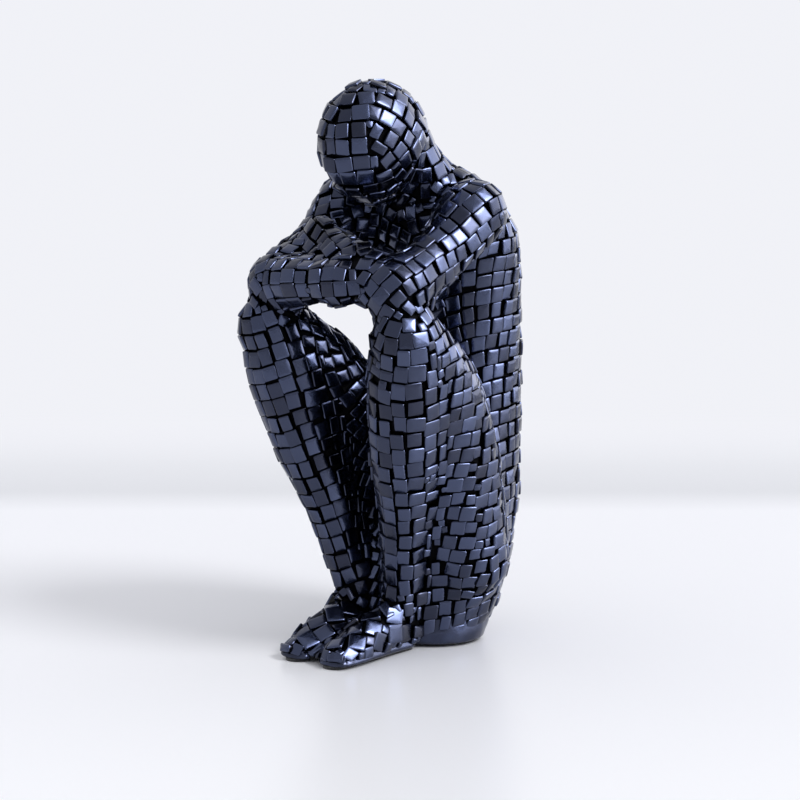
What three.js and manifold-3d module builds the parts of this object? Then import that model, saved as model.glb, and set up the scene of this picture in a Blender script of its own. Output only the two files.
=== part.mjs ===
// Seated faceless figure in cast resin: knees drawn up, arms folded on the knees, head bowed.
// Each section of the body is cast by itself and bonded to its neighbours on a locating peg.
// Millimetres, +Z up. The figure faces -Y, its left side is +X, and it stands on Z = 0.

import * as THREE from "three";
import { mergeVertices } from "three/addons/utils/BufferGeometryUtils.js";
import Module from "manifold-3d";

const wasm = await Module();
wasm.setup();

// Clearances between bonded sections, and around a peg in its bore
const jointGap = 0.3;
const pegGap = 0.3;

// Stand: felt pads, and the smooth base under the seat
const padThickness = 1;
const padInset = 3;
const heelPadRadius = 4;
const toePadRadius = 5;
const baseThickness = 5.5;
const baseInset = 0.3;
const baseTaper = 2;

// Torso outlines: height above the floor, half width, half depth and distance behind the ankles
const seatRing = { height: 15, wide: 36, deep: 29.5, back: 26 };
const hipRing = { height: 36, wide: 40, deep: 31.5, back: 31 };
const bellyRing = { height: 61, wide: 37.5, deep: 31.5, back: 40 };
const ribRing = { height: 104, wide: 34.5, deep: 29, back: 46 };
const chestRing = { height: 148, wide: 35.5, deep: 28.5, back: 44.5 };
const bladeRing = { height: 177, wide: 37, deep: 28, back: 39.5 };
const collarRing = { height: 191, wide: 31, deep: 21.5, back: 29 };
const seatRounding = 20;
const collarRise = 14;
const waistHeight = 78;

// Head, an ovoid about its own centre, and neck: the nape is placed from the collar, the neck's upper end
// from the nape, and the head's centre from the neck's upper end
const headWide = 21.5;
const headDeep = 27.5;
const headTall = 26.5;
const headForward = 16;
const headRise = 4.5;
const headBow = 24;
const jawTaper = 0.3;
const jawForward = 6;
const napeSetBack = 1;
const napeRise = 3;
const napeWide = 17;
const napeDeep = 15;
const neckForward = 20;
const neckRise = 19;
const neckWide = 15;
const neckDeep = 15.5;
const neckRounding = 7.5;

// Leg joints of the left side: the hip from the hip outline, knee and ankle from the middle and the floor
const hipInset = 12.5;
const hipForward = 8;
const hipRise = 2;
const kneeSide = 37;
const kneeBack = -27.5;
const kneeHeight = 137;
const ankleSide = 13;
const ankleBack = -2;
const ankleHeight = 20;

// Leg girths as half widths, and how far the flesh stands off the line from joint to joint
const hipGirth = 20;
const thighGirth = 22.5;
const thighBow = 12;
const thighInward = 4;
const thighCrownAt = 0.74;
const thighCrownGirth = 22;
const thighCrownBow = 12;
const kneeGirth = 17;
const shinTopAt = 0.12;
const shinTopGirth = 18.5;
const calfAt = 0.38;
const calfGirth = 17;
const calfSwell = 2.5;
const shinLowAt = 0.7;
const shinLowGirth = 11.8;
const shinLowInward = 1.2;
const shinLowBow = 1.5;
const ankleGirth = 9;

// Feet: reaches run forwards from the ankle, talls are half heights before the sole is cut flat
const soleCut = 2.5;
const heelInset = 1;
const heelReach = -2;
const heelDome = 6;
const heelWide = 8.5;
const heelTall = 9.5;
const instepReach = 12.5;
const instepWide = 9.8;
const instepTall = 11.5;
const ballReach = 32;
const ballWide = 10;
const ballTall = 7;
const toeInset = 2.5;
const toeReach = 41;
const toeWide = 9;
const toeTall = 5.5;
const toeDome = 6;

// Arm joints of the left side: the shoulder from the shoulder blades' outline, the elbow from the knee
const shoulderInset = 2.5;
const shoulderForward = 20.5;
const shoulderRise = 11;
const elbowInset = 4.5;
const elbowForward = 3.5;
const elbowRise = 21;

// Arm and hand girths
const shoulderGirth = 15;
const upperArmGirth = 12;
const upperArmSag = 2.5;
const elbowGirth = 13;
const elbowPinch = 1;
const forearmMiddleAt = 0.45;
const forearmGirth = 11.5;
const wristGirth = 8.5;
const wristPinch = 1;
const wristDome = 4;
const handReach = 17;
const handDroop = 2;
const handCurl = 0.8;
const palmWide = 11;
const palmDeep = 7;
const fingerWide = 8.5;
const fingerDeep = 5;
const fingerDome = 7;

// The left forearm crosses behind and above, the right one in front and below. Each wrist lies past the
// middle by its crossing, short of it where that is negative, and is placed from its elbow otherwise.
const leftCrossing = 11;
const leftWristSetBack = 12;
const leftWristRise = 16;
const rightCrossing = -2;
const rightWristSetBack = -7;
const rightWristRise = 3;

// Locating pegs: half lengths, and how deep the shoulder peg's middle lies before the joint centre
const pegRadius = 2.2;
const pegReach = 7;
const wristPegRadius = 1.5;
const wristPegReach = 5;
const waistPegRadius = 4;
const waistPegReach = 10;
const neckPegAt = 15.5;
const shoulderPegInset = 6;
const pelvisHeartSetBack = 17;

// Cladding: blocks of about two by two chips, parted by grooves. A groove has three lines: an edge, its floor
// and the other edge. Its width is a share of the distance from groove to groove. Each clad section has an
// even number of sides, blocks around it, and a number of steps, blocks along it.
const grooveDepth = 1.4;
const grooveShare = 0.17;
const grooveSteps = 3;
const trunkBlocks = { sides: 18, steps: 12 };
const headBlocks = { sides: 14, steps: 7 };
const thighBlocks = { sides: 10, steps: 7 };
const shinBlocks = { sides: 10, steps: 7 };

// Fineness of the other lofted surfaces
const limbSides = 18;
const limbSteps = 6;
const domeSteps = 3;
const neckSteps = 2;
const pegSides = 12;
const baseSides = 32;
const padArcSteps = 6;
const weldDistance = 1e-4;

const finishes = {
  navyResin: new THREE.MeshStandardMaterial({ color: 0x2b3249, roughness: 0.32, metalness: 0.35 }),
  blackFelt: new THREE.MeshStandardMaterial({ color: 0x16171a, roughness: 0.95, metalness: 0 }),
  pegSteel: new THREE.MeshStandardMaterial({ color: 0x9a9ca0, roughness: 0.35, metalness: 0.9 }),
};

const sideways = new THREE.Vector3(1, 0, 0);
const upward = new THREE.Vector3(0, 0, 1);
const baseTop = padThickness + baseThickness;
const skyHigh = 2 * bladeRing.height;

// The sign of the left side is 1, that of the right side is -1
const bodySides = { left: 1, right: -1 };

// A point of the left side, or its mirror image
function at(side, out, back, height) {
  return new THREE.Vector3(side * out, back, height);
}

function between(start, end, share) {
  return new THREE.Vector3().lerpVectors(start, end, share);
}

// A three.js geometry as a solid for cuts and joins
function solidOf(geometry) {
  const bare = new THREE.BufferGeometry();
  bare.setAttribute("position", geometry.getAttribute("position"));
  bare.setIndex(geometry.getIndex());
  const merged = mergeVertices(bare, weldDistance);
  const corners = merged.getIndex().array;
  const triangles = [];
  for (let i = 0; i < corners.length; i += 3) {
    const [a, b, c] = corners.slice(i, i + 3);
    if (a !== b && b !== c && a !== c) triangles.push(a, b, c);
  }
  const vertProperties = merged.getAttribute("position").array;
  const triVerts = new Uint32Array(triangles);
  return new wasm.Manifold(new wasm.Mesh({ numProp: 3, vertProperties, triVerts }));
}

function geometryOf(solid) {
  const mesh = solid.getMesh();
  const geometry = new THREE.BufferGeometry();
  geometry.setAttribute("position", new THREE.BufferAttribute(mesh.vertProperties, 3));
  geometry.setIndex(new THREE.BufferAttribute(mesh.triVerts, 1));
  geometry.computeVertexNormals();
  return geometry;
}

// The largest body of a solid, where a cut has left crumbs beside it
function mainBody(solid) {
  return solid.decompose().reduce((most, body) => (body.volume() > most.volume() ? body : most));
}

// One ring of a limb: its centre, its half width along the limb's across direction, and its half depth
function ring(centre, wide, deep = wide) {
  return { centre, wide, deep };
}

// Where one of the lines of a row of blocks runs, as a share of the row, and whether it is a groove's floor
function blockLine(line, blocks) {
  const lane = (line % grooveSteps) - 1;
  const place = (Math.floor(line / grooveSteps) + 0.5 + (lane * grooveShare) / 2) / blocks;
  return { place, floor: lane === 0 };
}

// The line around a clad surface that a corner of an even mesh belongs to, as a turn from 0 to 1
function lineAround(x, z, blocks) {
  const lines = blocks * grooveSteps;
  const turn = Math.atan2(z, x) / (2 * Math.PI);
  return blockLine((Math.round(turn * lines) + lines) % lines, blocks);
}

// The line along a clad surface, whose first and last line are its ends
function lineAlong(share, blocks) {
  const lines = blocks * grooveSteps + 1;
  const line = Math.round(share * lines);
  if (line === 0 || line === lines) return { place: line / lines, floor: false };
  return blockLine(line - 1, blocks);
}

// A rounded tube through rings. Its ends are domes that reach past the first and the last centre.
// With blocks it is clad: its lines part the blocks, and their floors lie deeper by the groove.
function limb(rings, shape) {
  const { across = sideways, startDome, endDome, steps = limbSteps, blocks, grow, groove = 0 } = shape;
  const spine = new THREE.CatmullRomCurve3(rings.map((r) => r.centre));
  const girths = new THREE.CatmullRomCurve3(rings.map((r) => new THREE.Vector3(r.wide, r.deep, 0)));
  const sides = blocks ? blocks.sides * grooveSteps : limbSides;
  const lengths = blocks ? blocks.steps * grooveSteps + 1 : steps;
  const geometry = new THREE.CapsuleGeometry(1, 1, domeSteps, sides, lengths);
  const points = geometry.getAttribute("position");
  for (let i = 0; i < points.count; i += 1) {
    const local = new THREE.Vector3().fromBufferAttribute(points, i);
    let along = THREE.MathUtils.clamp(local.y + 0.5, 0, 1);
    const past = local.y + 0.5 - along;
    const dome = (past < 0 ? startDome : endDome) + grow;
    let sunk = 0;
    if (blocks) {
      const radius = Math.hypot(local.x, local.z);
      const turn = lineAround(local.x, local.z, blocks.sides);
      const level = lineAlong(along, blocks.steps);
      local.x = radius * Math.cos(2 * Math.PI * turn.place);
      local.z = radius * Math.sin(2 * Math.PI * turn.place);
      along = spine.getUtoTmapping(level.place);
      if (turn.floor || level.floor) sunk = groove;
    }
    const girth = girths.getPoint(along);
    const tangent = spine.getTangent(along);
    const wideAxis = across.clone().addScaledVector(tangent, -across.dot(tangent)).normalize();
    const deepAxis = new THREE.Vector3().crossVectors(wideAxis, tangent);
    const place = spine.getPoint(along);
    place.addScaledVector(wideAxis, local.x * (girth.x + grow - sunk));
    place.addScaledVector(deepAxis, local.z * (girth.y + grow - sunk));
    place.addScaledVector(tangent, past * dome);
    points.setXYZ(i, place.x, place.y, place.z);
  }
  return solidOf(geometry);
}

// Everything between two heights
function slab(low, high) {
  const reach = 2 * skyHigh;
  const geometry = new THREE.BoxGeometry(reach, reach, high - low);
  return solidOf(geometry.translate(0, 0, (low + high) / 2));
}

// The whole trunk from the seat to the collar
function trunk(grow, groove) {
  const outlines = [seatRing, hipRing, bellyRing, ribRing, chestRing, bladeRing, collarRing];
  const rings = outlines.map(({ height, wide, deep, back }) => ring(at(1, 0, back, height), wide, deep));
  return limb(rings, { startDome: seatRounding, endDome: collarRise, blocks: trunkBlocks, grow, groove });
}

function upperTorso(grow, groove) {
  return trunk(grow, groove).intersect(slab(waistHeight + jointGap - grow, skyHigh));
}

function pelvis(grow, groove) {
  return trunk(grow, groove).intersect(slab(baseTop, waistHeight + grow));
}

// Share of the seat's width that its rounded underside still has at the top of the base
const seatShare = Math.sqrt(1 - ((seatRing.height - baseTop) / seatRounding) ** 2);
const baseWide = seatRing.wide * seatShare - baseInset;
const baseDeep = seatRing.deep * seatShare - baseInset;

// A flat oval about the seat's middle, narrower by taper at its foot
function oval(wide, deep, taper, low, high) {
  const geometry = new THREE.CylinderGeometry(1, 1, high - low, baseSides);
  geometry.rotateX(Math.PI / 2);
  const points = geometry.getAttribute("position");
  for (let i = 0; i < points.count; i += 1) {
    const narrowing = points.getZ(i) < 0 ? taper : 0;
    const x = points.getX(i) * (wide - narrowing);
    const y = points.getY(i) * (deep - narrowing) + seatRing.back;
    points.setXYZ(i, x, y, points.getZ(i) + (low + high) / 2);
  }
  return solidOf(geometry);
}

function seatBase() {
  return oval(baseWide, baseDeep, baseTaper, padThickness, baseTop);
}

function seatPad() {
  const inset = baseTaper + padInset;
  return oval(baseWide - inset, baseDeep - inset, 0, 0, padThickness);
}

const nape = at(1, 0, collarRing.back + napeSetBack, collarRing.height + napeRise);
const neckTop = at(1, 0, nape.y - neckForward, nape.z + neckRise);
const headCentre = at(1, 0, neckTop.y - headForward, neckTop.z + headRise);

// A clad ovoid, narrower and further forward towards the chin, bowed about its middle
function skull(grow, groove) {
  const { sides, steps } = headBlocks;
  const geometry = new THREE.SphereGeometry(1, sides * grooveSteps, steps * grooveSteps + 1);
  const points = geometry.getAttribute("position");
  const bow = THREE.MathUtils.degToRad(headBow);
  for (let i = 0; i < points.count; i += 1) {
    const turn = lineAround(points.getX(i), points.getZ(i), sides);
    const level = lineAlong(Math.acos(THREE.MathUtils.clamp(points.getY(i), -1, 1)) / Math.PI, steps);
    const depth = level.floor || turn.floor ? groove * Math.sin(Math.PI * level.place) : 0;
    const p = new THREE.Vector3();
    p.setFromSphericalCoords(1, Math.PI * level.place, 2 * Math.PI * turn.place);
    p.set(p.x, p.z, p.y);
    const jaw = Math.max(0, -p.z) ** 2;
    p.x *= (headWide + grow - depth) * (1 - jawTaper * jaw);
    p.y = p.y * (headDeep + grow - depth) * (1 - jawTaper * jaw) - jawForward * jaw;
    p.z *= headTall + grow - depth;
    p.applyAxisAngle(sideways, bow);
    p.add(headCentre);
    points.setXYZ(i, p.x, p.y, p.z);
  }
  return solidOf(geometry);
}

// Head and neck are one casting
function head(grow, groove) {
  const rings = [ring(nape, napeWide, napeDeep), ring(neckTop, neckWide, neckDeep)];
  const neck = limb(rings, { startDome: neckRounding, endDome: neckRounding, steps: neckSteps, grow });
  return skull(grow, groove).add(neck);
}

// Joint centres and sections of one side
function hip(side) {
  return at(side, hipRing.wide - hipInset, hipRing.back - hipForward, hipRing.height + hipRise);
}

function knee(side) {
  return at(side, kneeSide, kneeBack, kneeHeight);
}

function ankle(side) {
  return at(side, ankleSide, ankleBack, ankleHeight);
}

function thighMiddle(side) {
  return between(hip(side), knee(side), 0.5).add(at(side, -thighInward, thighBow, 0));
}

function thigh(side, grow, groove) {
  const crown = between(hip(side), knee(side), thighCrownAt).add(at(side, -thighInward, thighCrownBow, 0));
  const rings = [
    ring(hip(side), hipGirth),
    ring(thighMiddle(side), thighGirth),
    ring(crown, thighCrownGirth),
    ring(knee(side), kneeGirth),
  ];
  return limb(rings, { startDome: hipGirth, endDome: kneeGirth, blocks: thighBlocks, grow, groove });
}

function calf(side) {
  return between(knee(side), ankle(side), calfAt).add(at(side, 0, calfSwell, 0));
}

function shinLow(side) {
  return between(knee(side), ankle(side), shinLowAt).add(at(side, -shinLowInward, shinLowBow, 0));
}

function shin(side, grow, groove) {
  const rings = [
    ring(between(knee(side), ankle(side), shinTopAt), shinTopGirth),
    ring(calf(side), calfGirth, calfGirth + calfSwell),
    ring(shinLow(side), shinLowGirth),
    ring(ankle(side), ankleGirth),
  ];
  return limb(rings, { startDome: shinTopGirth, endDome: ankleGirth, blocks: shinBlocks, grow, groove });
}

function foot(side, grow) {
  const station = (reach, wide, tall) => {
    const share = (reach - heelReach) / (toeReach - heelReach);
    const inset = THREE.MathUtils.lerp(heelInset, toeInset, share);
    return ring(at(side, ankleSide - inset, ankleBack - reach, padThickness + tall - soleCut), wide, tall);
  };
  const rings = [
    station(heelReach, heelWide, heelTall),
    station(instepReach, instepWide, instepTall),
    station(ballReach, ballWide, ballTall),
    station(toeReach, toeWide, toeTall),
  ];
  const whole = limb(rings, { startDome: heelDome, endDome: toeDome, grow });
  return whole.intersect(slab(padThickness - grow, skyHigh));
}

function footPad(side) {
  const outline = new THREE.Shape();
  const heelSide = side * (ankleSide - heelInset);
  const toeSide = side * (ankleSide - toeInset);
  outline.absarc(heelSide, ankleBack - heelReach, heelPadRadius, 0, Math.PI);
  outline.absarc(toeSide, ankleBack - toeReach, toePadRadius, Math.PI, 2 * Math.PI);
  outline.closePath();
  const options = { depth: padThickness, bevelEnabled: false, curveSegments: padArcSteps };
  return solidOf(new THREE.ExtrudeGeometry(outline, options));
}

function shoulder(side) {
  const { wide, back, height } = bladeRing;
  return at(side, wide - shoulderInset, back - shoulderForward, height + shoulderRise);
}

function elbow(side) {
  return at(side, kneeSide - elbowInset, kneeBack - elbowForward, kneeHeight + elbowRise);
}

function wrist(side) {
  const { y, z } = elbow(side);
  if (side > 0) return at(side, -leftCrossing, y + leftWristSetBack, z + leftWristRise);
  return at(side, -rightCrossing, y + rightWristSetBack, z + rightWristRise);
}

function upperArm(side, grow) {
  const middle = between(shoulder(side), elbow(side), 0.5).add(at(side, 0, upperArmSag, -upperArmSag));
  const end = ring(elbow(side), elbowGirth);
  const rings = [ring(shoulder(side), shoulderGirth), ring(middle, upperArmGirth), end];
  return limb(rings, { startDome: shoulderGirth, endDome: elbowGirth, grow });
}

function forearm(side, grow) {
  const middle = between(elbow(side), wrist(side), forearmMiddleAt);
  const start = ring(elbow(side), elbowGirth - elbowPinch);
  const rings = [start, ring(middle, forearmGirth), ring(wrist(side), wristGirth)];
  return limb(rings, { across: upward, startDome: elbowGirth, endDome: wristDome, grow });
}

function hand(side, grow) {
  const ahead = wrist(side).sub(elbow(side)).normalize();
  const fingers = wrist(side).addScaledVector(ahead, handReach).add(at(side, 0, handCurl, -handDroop));
  const palm = between(wrist(side), fingers, 0.5);
  const start = ring(wrist(side), wristGirth - wristPinch);
  const rings = [start, ring(palm, palmWide, palmDeep), ring(fingers, fingerWide, fingerDeep)];
  return limb(rings, { across: upward, startDome: wristDome, endDome: fingerDome, grow });
}

// Castings by name, each with the neighbours that it is cut back from by the joint gap
const castings = {};

function casting(name, shape, neighbours) {
  castings[name] = { shape, neighbours };
}

for (const [name, side] of Object.entries(bodySides)) {
  casting(`${name}_foot`, (grow) => foot(side, grow), []);
  casting(`${name}_shin`, (grow, groove) => shin(side, grow, groove), [`${name}_foot`]);
  casting(`${name}_thigh`, (grow, groove) => thigh(side, grow, groove), [`${name}_shin`]);
  const leg = [`${name}_thigh`, `${name}_shin`];
  casting(`${name}_upper_arm`, (grow) => upperArm(side, grow), ["upper_torso", "head", ...leg]);
  casting(`${name}_forearm`, (grow) => forearm(side, grow), [`${name}_upper_arm`, ...leg]);
  casting(`${name}_hand`, (grow) => hand(side, grow), [`${name}_forearm`]);
}
const legs = ["left_thigh", "right_thigh", "left_shin", "right_shin"];
casting("upper_torso", upperTorso, legs);
casting("head", head, ["upper_torso"]);
casting("pelvis", pelvis, [...legs, "left_foot", "right_foot"]);
casting("seat_base", seatBase, ["left_foot", "right_foot"]);
castings.right_hand.neighbours.push("left_upper_arm");
castings.left_forearm.neighbours.push("right_forearm", "right_hand");
castings.left_hand.neighbours.push("right_forearm", "right_hand", "right_upper_arm");

// The grooves are in the castings themselves, not in the shapes that their neighbours are cut back by
const bodies = {};
for (const [name, { shape, neighbours }] of Object.entries(castings)) {
  const cutters = neighbours.map((neighbour) => castings[neighbour].shape(jointGap, 0));
  bodies[name] = mainBody(cutters.reduce((rest, cutter) => rest.subtract(cutter), shape(0, grooveDepth)));
}

// A round bar from one point to another
function bar(start, end, radius) {
  const axis = new THREE.Vector3().subVectors(end, start);
  const geometry = new THREE.CylinderGeometry(radius, radius, axis.length(), pegSides);
  const turn = new THREE.Quaternion().setFromUnitVectors(new THREE.Vector3(0, 1, 0), axis.normalize());
  const middle = between(start, end, 0.5);
  return solidOf(geometry.applyQuaternion(turn).translate(middle.x, middle.y, middle.z));
}

const pegs = {};

// A peg on the line from one point towards another, its middle at a distance from the first
function peg(name, from, towards, distance, sections, radius = pegRadius, reach = pegReach) {
  const ahead = new THREE.Vector3().subVectors(towards, from).normalize();
  const along = (length) => from.clone().addScaledVector(ahead, length);
  pegs[name] = bar(along(distance - reach), along(distance + reach), radius);
  const bore = bar(along(distance - reach - pegGap), along(distance + reach + pegGap), radius + pegGap);
  for (const section of sections) bodies[section] = mainBody(bodies[section].subtract(bore));
}

// Points in the middle of the trunk that the shoulder, hip and waist pegs point to
const collarHeart = at(1, 0, collarRing.back, shoulder(1).z);
const pelvisHeart = at(1, 0, hipRing.back + pelvisHeartSetBack, hip(1).z);
const waistHeart = at(1, 0, (bellyRing.back + ribRing.back) / 2, waistHeight);

peg("neck_peg", nape, neckTop, neckPegAt, ["upper_torso", "head"]);
peg("waist_peg", waistHeart, collarHeart, 0, ["pelvis", "upper_torso"], waistPegRadius, waistPegReach);
for (const [name, side] of Object.entries(bodySides)) {
  const shoulderPegAt = collarHeart.distanceTo(shoulder(side)) - shoulderPegInset;
  const wristPegAt = elbow(side).distanceTo(wrist(side)) + wristDome;
  const ankleSections = [`${name}_shin`, `${name}_foot`];
  const shoulderSections = ["upper_torso", `${name}_upper_arm`];
  peg(`${name}_shoulder_peg`, collarHeart, shoulder(side), shoulderPegAt, shoulderSections);
  peg(`${name}_elbow_peg`, elbow(side), wrist(side), elbowGirth, [`${name}_upper_arm`, `${name}_forearm`]);
  peg(
    `${name}_wrist_peg`,
    elbow(side),
    wrist(side),
    wristPegAt,
    [`${name}_forearm`, `${name}_hand`],
    wristPegRadius,
    wristPegReach,
  );
  peg(`${name}_hip_peg`, hip(side), pelvisHeart, hipGirth, ["pelvis", `${name}_thigh`]);
  peg(`${name}_shin_peg`, calf(side), thighMiddle(side), calfGirth, [`${name}_shin`, `${name}_thigh`]);
  peg(`${name}_ankle_peg`, knee(side), ankle(side), knee(side).distanceTo(ankle(side)), ankleSections);
}

const pads = {
  seat_pad: seatPad(),
  left_foot_pad: footPad(1),
  right_foot_pad: footPad(-1),
};

const figure = new THREE.Group();

// One mesh for each solid, under its name
function addMeshes(solids, finish) {
  for (const [name, solid] of Object.entries(solids)) {
    const mesh = new THREE.Mesh(geometryOf(solid), finish.clone());
    mesh.name = name;
    figure.add(mesh);
  }
}

addMeshes(bodies, finishes.navyResin);
addMeshes(pegs, finishes.pegSteel);
addMeshes(pads, finishes.blackFelt);

// The origin lies under the middle of the whole figure
const reach = new THREE.Box3().setFromObject(figure);
figure.position.set(-(reach.min.x + reach.max.x) / 2, -(reach.min.y + reach.max.y) / 2, 0);

export default figure;
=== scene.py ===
# Seated figure clad all over in small dark chips, on a pale floor in soft studio light.
# The frame is in metres. The cladding is worked out in millimetres and scaled when its meshes are made.

import math
import random

import bmesh
import bpy
import numpy as np
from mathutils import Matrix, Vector
from mathutils.bvhtree import BVHTree
from mathutils.kdtree import KDTree


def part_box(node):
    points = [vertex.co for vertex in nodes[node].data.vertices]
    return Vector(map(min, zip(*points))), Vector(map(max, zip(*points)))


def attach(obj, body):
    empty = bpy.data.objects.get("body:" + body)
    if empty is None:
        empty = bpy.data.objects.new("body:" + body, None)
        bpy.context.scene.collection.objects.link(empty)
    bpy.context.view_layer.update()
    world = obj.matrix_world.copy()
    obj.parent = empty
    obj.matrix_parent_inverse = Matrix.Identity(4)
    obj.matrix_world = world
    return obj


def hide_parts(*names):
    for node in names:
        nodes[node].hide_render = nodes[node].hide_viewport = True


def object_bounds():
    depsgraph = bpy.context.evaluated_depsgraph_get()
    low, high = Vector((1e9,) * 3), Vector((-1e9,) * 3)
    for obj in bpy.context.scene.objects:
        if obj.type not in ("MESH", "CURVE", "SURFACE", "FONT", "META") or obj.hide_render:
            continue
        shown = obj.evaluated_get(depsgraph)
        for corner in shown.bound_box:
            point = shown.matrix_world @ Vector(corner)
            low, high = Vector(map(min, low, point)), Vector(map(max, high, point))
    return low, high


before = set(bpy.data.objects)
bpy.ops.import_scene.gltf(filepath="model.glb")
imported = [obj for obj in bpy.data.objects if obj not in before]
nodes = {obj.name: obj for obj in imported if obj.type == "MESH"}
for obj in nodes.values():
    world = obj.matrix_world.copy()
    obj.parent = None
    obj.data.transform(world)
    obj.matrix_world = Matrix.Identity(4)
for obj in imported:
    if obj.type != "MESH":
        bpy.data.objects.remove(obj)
cad_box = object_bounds()
scene = bpy.context.scene

METRE = 1000.0
LOW, HIGH = [np.array(corner) * METRE for corner in cad_box]

# Castings that show as chips, by the group that shares its rows
LEFT_ARM = ["left_upper_arm", "left_forearm", "left_hand"]
RIGHT_ARM = ["right_upper_arm", "right_forearm", "right_hand"]
TRUNK = ["upper_torso", "pelvis", "left_thigh", "right_thigh"]
CASTINGS = TRUNK + ["head", "left_shin", "right_shin", "left_foot", "right_foot"] + LEFT_ARM + RIGHT_ARM
PEGS = [name for name in nodes if name.endswith("_peg")]
SIDES = {"left": 1, "right": -1}

# The common skin that the chips are laid on, swollen to close the castings' grooves and shrunk back
SKIN_SWELL = 3.0
SKIN_VOXEL = 1.4
SKIN_SOFTENING = 4
SKIN_SMOOTHING = 8

# Chips: width along a row, height across it, thickness, roundings and how far the top bulges
CHIP_PITCH = 7.1
ROW_PITCH = 6.7
CHIP_THICKNESS = 3.2
EDGE_ROUNDING = 0.46
CORNER_ROUNDING = 0.6
DOME = 0.18

# How deep the joints lie between the chips, which are painted near black as the shade in the gaps
CORE_DEPTH = 2.6

# Heights up to which the feet and the seat have no chips
FOOT_RIM = 2.6
BAND_TOP = 5.0

# Smallest length that anything is divided by
TINY = 1e-9


# Meshes as arrays of points and triangles

def unit(vector):
    return vector / max(np.linalg.norm(vector), TINY)


def mesh_arrays(mesh):
    """Corners in millimetres and triangles of a mesh."""
    mesh.calc_loop_triangles()
    points = np.empty(len(mesh.vertices) * 3)
    mesh.vertices.foreach_get("co", points)
    triangles = np.empty(len(mesh.loop_triangles) * 3, int)
    mesh.loop_triangles.foreach_get("vertices", triangles)
    return points.reshape(-1, 3) * METRE, triangles.reshape(-1, 3)


def largest_shell(points, triangles):
    """The shell with the most corners, where cavities and crumbs make more than one."""
    links = [[] for _ in points]
    for a, b, c in triangles.tolist():
        links[a] += (b, c)
        links[b].append(c)
        links[c] += (a, b)
    shell = np.full(len(points), -1)
    shells = 0
    for seed in range(len(points)):
        if shell[seed] >= 0:
            continue
        shell[seed] = shells
        open_corners = [seed]
        while open_corners:
            for other in links[open_corners.pop()]:
                if shell[other] < 0:
                    shell[other] = shells
                    open_corners.append(other)
        shells += 1
    kept = shell == np.bincount(shell).argmax()
    number = np.cumsum(kept) - 1
    return points[kept], number[triangles[kept[triangles[:, 0]]]]


SAME_PLACE = 1e-6


def remeshed(names, swell, voxel):
    """The outer faces of several closed nodes, swollen and joined into one even mesh."""
    bm = bmesh.new()
    for name in names:
        bm.from_mesh(nodes[name].data)
    bmesh.ops.remove_doubles(bm, verts=bm.verts, dist=SAME_PLACE)
    bm.normal_update()
    for vertex in bm.verts:
        vertex.co += vertex.normal * (swell / METRE)
    mesh = bpy.data.meshes.new("rough")
    bm.to_mesh(mesh)
    bm.free()
    rough = bpy.data.objects.new("rough", mesh)
    scene.collection.objects.link(rough)
    remesh = rough.modifiers.new("even", "REMESH")
    remesh.mode = "VOXEL"
    remesh.voxel_size = voxel / METRE
    depsgraph = bpy.context.evaluated_depsgraph_get()
    even = bpy.data.meshes.new_from_object(rough.evaluated_get(depsgraph))
    bpy.data.objects.remove(rough)
    bpy.data.meshes.remove(mesh)
    points, triangles = mesh_arrays(even)
    bpy.data.meshes.remove(even)
    return largest_shell(points, triangles)


def edges_of(triangles):
    return triangles[:, [0, 1, 1, 2, 2, 0]].reshape(-1, 2)


def neighbour_pairs(triangles):
    """Both directions of every edge."""
    edges = edges_of(triangles)
    return np.concatenate([edges, edges[:, ::-1]])


def averaged(values, pairs, count):
    """For every corner, the mean of the values at its neighbours."""
    weight = np.maximum(np.bincount(pairs[:, 0], minlength=count), 1)
    sums = [np.bincount(pairs[:, 0], values[pairs[:, 1], k], count) for k in range(values.shape[1])]
    return np.stack(sums, 1) / weight[:, None]


# Share of the way to its neighbours' mean that a corner goes, and then back again
SMOOTH_IN = 0.5
SMOOTH_OUT = 0.52


def softened(points, triangles, rounds):
    """The mesh with its flats and corners rounded off."""
    pairs = neighbour_pairs(triangles)
    for _ in range(rounds):
        points = points + SMOOTH_IN * (averaged(points, pairs, len(points)) - points)
    return points


def smoothed(points, triangles, rounds):
    """The mesh without its voxel steps, and without shrinking."""
    pairs = neighbour_pairs(triangles)
    for _ in range(rounds):
        points = points + SMOOTH_IN * (averaged(points, pairs, len(points)) - points)
        points = points - SMOOTH_OUT * (averaged(points, pairs, len(points)) - points)
    return points


def corner_normals(points, triangles):
    corners = points[triangles]
    across = np.cross(corners[:, 1] - corners[:, 0], corners[:, 2] - corners[:, 0])
    normals = np.zeros_like(points)
    for k in range(3):
        for axis in range(3):
            normals[:, axis] += np.bincount(triangles[:, k], across[:, axis], len(points))
    return normals / np.maximum(np.linalg.norm(normals, axis=1), TINY)[:, None]


# Distance over a surface: the value of corners not yet reached, and when the rounds end
UNREACHED = 1e4
MOST_ROUNDS = 2000
SETTLED = 1e-3


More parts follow.
